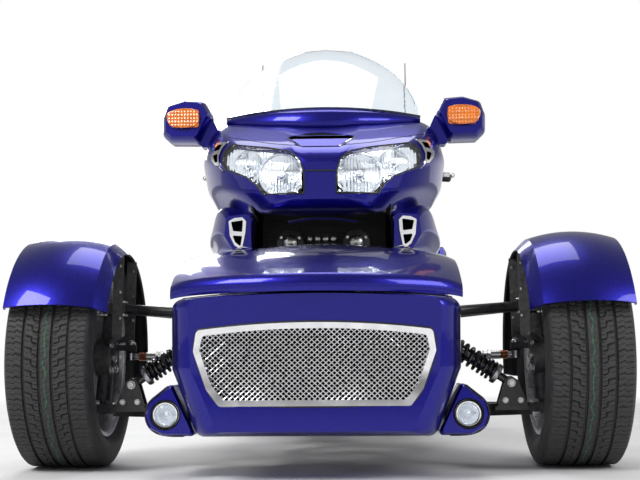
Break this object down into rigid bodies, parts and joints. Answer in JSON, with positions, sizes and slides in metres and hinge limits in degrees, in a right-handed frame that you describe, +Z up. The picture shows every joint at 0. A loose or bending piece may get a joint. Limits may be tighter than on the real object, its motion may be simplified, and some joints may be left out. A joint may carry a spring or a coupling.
{
  "type": "motorized trike",
  "caption": "Touring motorcycle with two steered front wheels on double A-arms, one rear wheel, fairing, seat, hard cases and a lidded trunk.",
  "frame": {"origin": "on the ground below the centre of the whole vehicle's bounding box", "axes": "+X to the vehicle's left, +Y to its rear, +Z up; the nose points at -Y"},
  "size_m": [1.5818, 2.7111, 1.64],
  "materials": {
    "body_paint": "gloss",
    "frame_paint": "satin",
    "bright_trim": "polished",
    "chrome": "polished",
    "clear_lens": "clear",
    "screen": "clear",
    "amber_lens": "gloss",
    "red_lens": "gloss",
    "black_plastic": "matte",
    "radiator_black": "matte",
    "engine_alloy": "cast",
    "alloy": "satin",
    "seat_vinyl": "grained",
    "tyre_rubber": "matte",
    "black_rubber": "matte",
    "shock_black": "satin",
    "knuckle_iron": "cast"
  },
  "bodies": {
    "chassis": {"frame": "frame_paint", "seat_subframe": "frame_paint", "front_subframe": "frame_paint", "subframe_side_left": "frame_paint", "subframe_side_right": "frame_paint", "nose_shell": "body_paint", "grille_surround": "bright_trim", "grille_mesh": "bright_trim", "hood": "body_paint", "fog_lamp_pods": "body_paint", "fog_lamps": "clear_lens", "front_cowl": "body_paint", "headlamps": "clear_lens", "headlamp_reflectors": "chrome", "lower_cowls": "body_paint", "vent_surrounds": "chrome", "windshield": "screen", "instrument_panel": "black_plastic", "mirror_housings": "body_paint", "turn_signals": "amber_lens", "radiators": "radiator_black", "horns": "black_plastic", "engine": "engine_alloy", "exhausts": "chrome", "tank_cover": "body_paint", "side_covers": "body_paint", "seat": "seat_vinyl", "trunk": "body_paint", "saddlebags": "body_paint", "rear_fender": "body_paint", "tail_lamps": "red_lens", "swingarm": "alloy", "foot_boards": "black_rubber", "antennas": "black_plastic", "lower_arms": "frame_paint", "upper_arms": "frame_paint", "coil_shocks": "shock_black"},
    "handlebar": {"handlebar": "chrome", "hand_grips": "black_rubber"},
    "steer_left": {"knuckle_left": "knuckle_iron", "front_fender_left": "body_paint"},
    "front_wheel_left": {"front_rim_left": "alloy", "front_tyre_left": "tyre_rubber"},
    "tie_rod_left": {"tie_rod_left": "alloy"},
    "steer_right": {"knuckle_right": "knuckle_iron", "front_fender_right": "body_paint"},
    "front_wheel_right": {"front_rim_right": "alloy", "front_tyre_right": "tyre_rubber"},
    "tie_rod_right": {"tie_rod_right": "alloy"},
    "rear_wheel": {"rear_rim": "alloy", "rear_tyre": "tyre_rubber"},
    "trunk_lid": {"trunk_lid": "body_paint"},
    "saddlebag_lid_left": {"saddlebag_lid_left": "body_paint"},
    "saddlebag_lid_right": {"saddlebag_lid_right": "body_paint"}
  },
  "joints": [
    {"name": "handlebar_turn", "type": "hinge", "parent": "chassis", "child": "handlebar", "pos_m": [0, -0.25, 0.93], "axis": [0, 0.4226, 0.9063], "range_deg": [-28, 28]},
    {"name": "steer_left", "type": "hinge", "parent": "chassis", "child": "steer_left", "pos_m": [0.6, -0.9, 0.155], "axis": [-0.0797, 0, 0.9968], "range_deg": [-28, 28]},
    {"name": "front_wheel_left_spin", "type": "hinge", "parent": "steer_left", "child": "front_wheel_left", "pos_m": [0.679, -0.9, 0.295], "axis": [1, 0, 0], "continuous": true},
    {"name": "tie_rod_left_ball", "type": "hinge", "parent": "steer_left", "child": "tie_rod_left", "pos_m": [0.545, -0.79, 0.298], "axis": [0, 0, 1], "range_deg": [-28, 28]},
    {"name": "steer_right", "type": "hinge", "parent": "chassis", "child": "steer_right", "pos_m": [-0.6, -0.9, 0.155], "axis": [0.0797, 0, 0.9968], "range_deg": [-28, 28]},
    {"name": "front_wheel_right_spin", "type": "hinge", "parent": "steer_right", "child": "front_wheel_right", "pos_m": [-0.679, -0.9, 0.295], "axis": [1, 0, 0], "continuous": true},
    {"name": "tie_rod_right_ball", "type": "hinge", "parent": "steer_right", "child": "tie_rod_right", "pos_m": [-0.545, -0.79, 0.298], "axis": [0, 0, 1], "range_deg": [-28, 28]},
    {"name": "rear_wheel_spin", "type": "hinge", "parent": "chassis", "child": "rear_wheel", "pos_m": [0, 0.79, 0.311], "axis": [1, 0, 0], "continuous": true},
    {"name": "trunk_lid_hinge", "type": "hinge", "parent": "chassis", "child": "trunk_lid", "pos_m": [0, 0.874, 1.064], "axis": [1, 0, 0], "range_deg": [0, 45]},
    {"name": "saddlebag_lid_left_hinge", "type": "hinge", "parent": "chassis", "child": "saddlebag_lid_left", "pos_m": [0.443, 0.92, 0.386], "axis": [0, 1, 0], "range_deg": [0, 50]},
    {"name": "saddlebag_lid_right_hinge", "type": "hinge", "parent": "chassis", "child": "saddlebag_lid_right", "pos_m": [-0.443, 0.92, 0.386], "axis": [0, -1, 0], "range_deg": [0, 50]}
  ],
  "couplings": [
    {"joint": "steer_left", "follows": "handlebar_turn", "ratio": 1},
    {"joint": "tie_rod_left_ball", "follows": "handlebar_turn", "ratio": -1},
    {"joint": "steer_right", "follows": "handlebar_turn", "ratio": 1},
    {"joint": "tie_rod_right_ball", "follows": "handlebar_turn", "ratio": -1}
  ]
}
